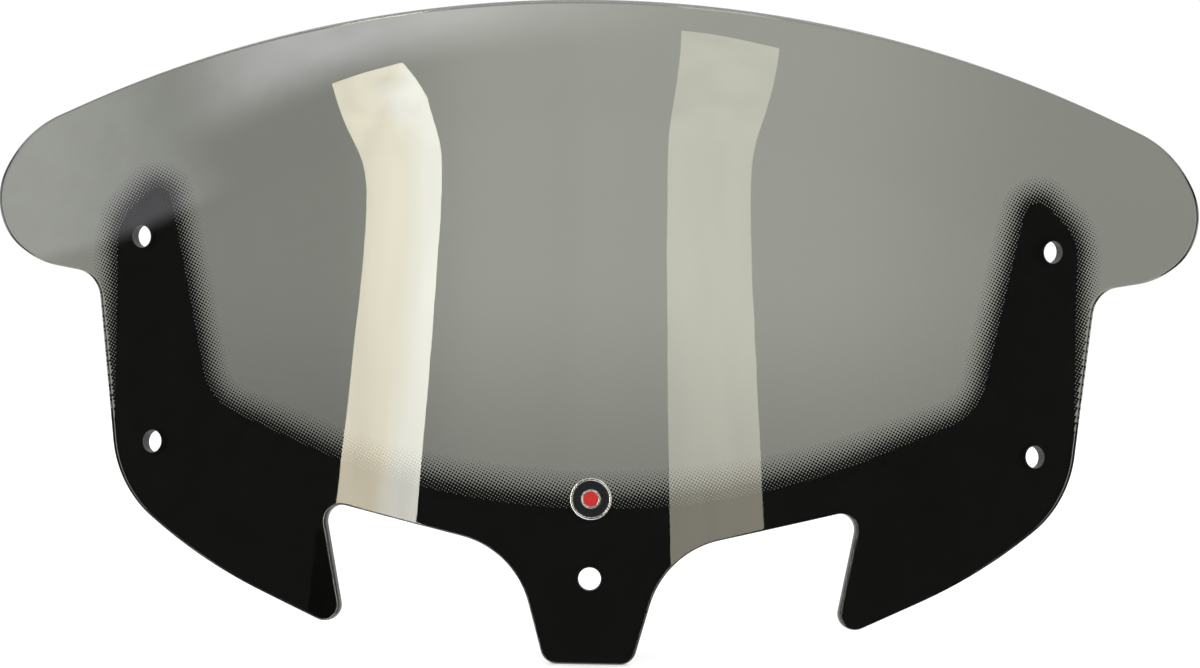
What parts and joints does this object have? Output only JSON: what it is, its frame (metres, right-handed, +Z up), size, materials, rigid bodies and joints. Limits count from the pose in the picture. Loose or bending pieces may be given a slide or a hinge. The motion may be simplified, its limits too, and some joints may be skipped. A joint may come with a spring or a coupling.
{
  "type": "windshield screen",
  "caption": "Short curved motorcycle windshield: smoked clear sheet with flared wings, a black printed border fading into dots, mounting holes and a small round badge.",
  "frame": {"origin": "axis of the bottom-centre mounting hole at the outer (weather) face of the sheet", "axes": "-Y points forward out of the outer face along that hole, +Y to the rider, +Z up the mid-line, +X sideways to the right seen from the front"},
  "size_m": [0.6258, 0.129, 0.3229],
  "materials": {
    "smoked_sheet": "polished, hard-coated, light smoke tint",
    "border_ink": "opaque black screen print seen through the sheet",
    "badge_foam": "black foam tape",
    "badge_metal": "bright plated casting",
    "badge_black_enamel": "glossy enamel fill",
    "badge_red_enamel": "glossy enamel fill"
  },
  "bodies": {
    "root": {"screen": "smoked_sheet", "border_print": "border_ink", "badge_adhesive": "badge_foam", "badge_body": "badge_metal", "badge_field": "badge_black_enamel", "badge_spot": "badge_red_enamel"}
  },
  "joints": []
}
